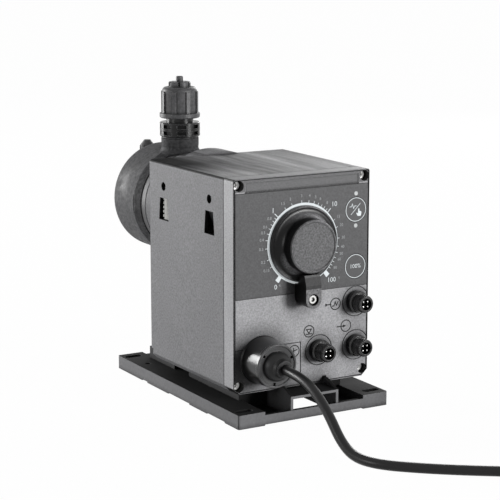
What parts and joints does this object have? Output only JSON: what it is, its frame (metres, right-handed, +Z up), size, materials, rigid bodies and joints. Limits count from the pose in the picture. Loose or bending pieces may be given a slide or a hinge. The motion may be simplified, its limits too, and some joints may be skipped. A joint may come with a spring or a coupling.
{
  "type": "diaphragm metering pump",
  "caption": "Diaphragm metering pump with dial control panel, signal connectors, mains cord, mounting plate and a dosing head with upright suction and discharge valves",
  "frame": {"origin": "centre of the four mounting slots on the underside of the mounting plate", "axes": "+X to the right seen from the control panel, +Y from the panel towards the dosing head, +Z up"},
  "size_m": [0.2168, 0.4594, 0.2234],
  "materials": {
    "plate": "moulded, fine grain",
    "housing": "moulded, fine grain",
    "cover": "moulded, fine grain",
    "label": "printed film",
    "knob": "moulded",
    "key": "moulded",
    "light": "diffused",
    "connector": "gloss",
    "insert": "moulded",
    "brass": "plain",
    "steel": "turned",
    "rubber": "moulded",
    "board": "coated",
    "components": "mixed",
    "frame": "die-cast",
    "motor": "enamel",
    "ring": "moulded",
    "head": "turned",
    "valve": "gloss",
    "nut": "moulded",
    "ceramic": "ground",
    "cord": "extruded"
  },
  "bodies": {
    "pump": {"mounting_plate": "plate", "housing": "housing", "cover_gasket": "rubber", "control_cover": "cover", "cover_screws": "steel", "panel_label": "label", "status_lights": "light", "dial_sensor": "components", "knob_lock": "knob", "signal_plug_1": "connector", "signal_plug_2": "connector", "signal_plug_3": "connector", "plug_inserts": "insert", "plug_contacts": "steel", "gland_socket": "connector", "gland_cap": "connector", "gland_screws": "steel", "cable_bushing": "rubber", "circuit_board": "board", "board_components": "components", "drive_frame": "frame", "inner_screws": "steel", "shaft_bearings": "brass", "guide_bush": "brass", "motor_case": "motor", "motor_stator": "steel", "diaphragm": "rubber", "spacer_ring": "ring", "dosing_head": "head", "head_screws": "steel", "head_cap": "head", "vent_nipple": "knob", "mains_cord": "cord", "cord_coil": "cord", "cord_tail": "cord", "mains_plug": "rubber", "mains_pins": "brass", "discharge_valve": "valve", "suction_valve": "valve", "hose_nipples": "nut", "valve_seats": "ceramic", "valve_seals": "rubber", "clamp_rings": "nut"},
    "control_dial": {"dial_knob": "knob", "dial_shaft": "steel"},
    "start_key": {"start_stop_key": "key"},
    "rate_key": {"full_rate_key": "key"},
    "lock_screw_body": {"lock_screw": "steel"},
    "gear_train": {"drive_gear": "insert", "eccentric_shaft": "steel", "eccentric_roller": "steel"},
    "motor_shaft": {"motor_rotor": "steel", "motor_pinion": "brass"},
    "push_rod_body": {"yoke": "frame", "push_rod": "steel"},
    "discharge_ball_body": {"discharge_ball": "ceramic"},
    "suction_ball_body": {"suction_ball": "ceramic"},
    "discharge_nut_body": {"discharge_nut": "nut"},
    "suction_nut_body": {"suction_nut": "nut"},
    "vent_valve": {"vent_knob": "knob"}
  },
  "joints": [
    {"name": "dial_turn", "type": "hinge", "parent": "pump", "child": "control_dial", "pos_m": [0, -0.084, 0.1209], "axis": [0, 1, 0], "range_deg": [0, 280]},
    {"name": "start_key_press", "type": "slide", "parent": "pump", "child": "start_key", "axis": [0, 1, 0], "range_m": [0, 0.0005], "stiffness_N_per_m": 400},
    {"name": "rate_key_press", "type": "slide", "parent": "pump", "child": "rate_key", "axis": [0, 1, 0], "range_m": [0, 0.0005], "stiffness_N_per_m": 400},
    {"name": "lock_screw_turn", "type": "hinge", "parent": "pump", "child": "lock_screw_body", "pos_m": [0, -0.088, 0.0835], "axis": [0, 1, 0], "range_deg": [-90, 90]},
    {"name": "gear_turn", "type": "hinge", "parent": "pump", "child": "gear_train", "pos_m": [0, 0.007, 0.1263], "axis": [0, 0, 1], "continuous": true},
    {"name": "motor_turn", "type": "hinge", "parent": "pump", "child": "motor_shaft", "pos_m": [0, -0.025, 0.09], "axis": [0, 0, 1], "continuous": true},
    {"name": "push_rod_slide", "type": "slide", "parent": "pump", "child": "push_rod_body", "axis": [0, 1, 0], "range_m": [-0.0015, 0.0015], "deforming": ["diaphragm"]},
    {"name": "discharge_ball_lift", "type": "slide", "parent": "pump", "child": "discharge_ball_body", "axis": [0, 0, 1], "range_m": [0, 0.0015]},
    {"name": "suction_ball_lift", "type": "slide", "parent": "pump", "child": "suction_ball_body", "axis": [0, 0, 1], "range_m": [0, 0.0015]},
    {"name": "discharge_nut_turn", "type": "hinge", "parent": "pump", "child": "discharge_nut_body", "pos_m": [0, 0.105, 0.205], "axis": [0, 0, 1], "continuous": true},
    {"name": "suction_nut_turn", "type": "hinge", "parent": "pump", "child": "suction_nut_body", "pos_m": [0, 0.105, 0.05], "axis": [0, 0, -1], "continuous": true},
    {"name": "vent_turn", "type": "hinge", "parent": "pump", "child": "vent_valve", "pos_m": [-0.0075, 0.1471, 0.165], "axis": [0, 0, 1], "range_deg": [0, 180]}
  ],
  "couplings": [
    {"joint": "motor_turn", "follows": "gear_turn", "ratio": -4}
  ]
}
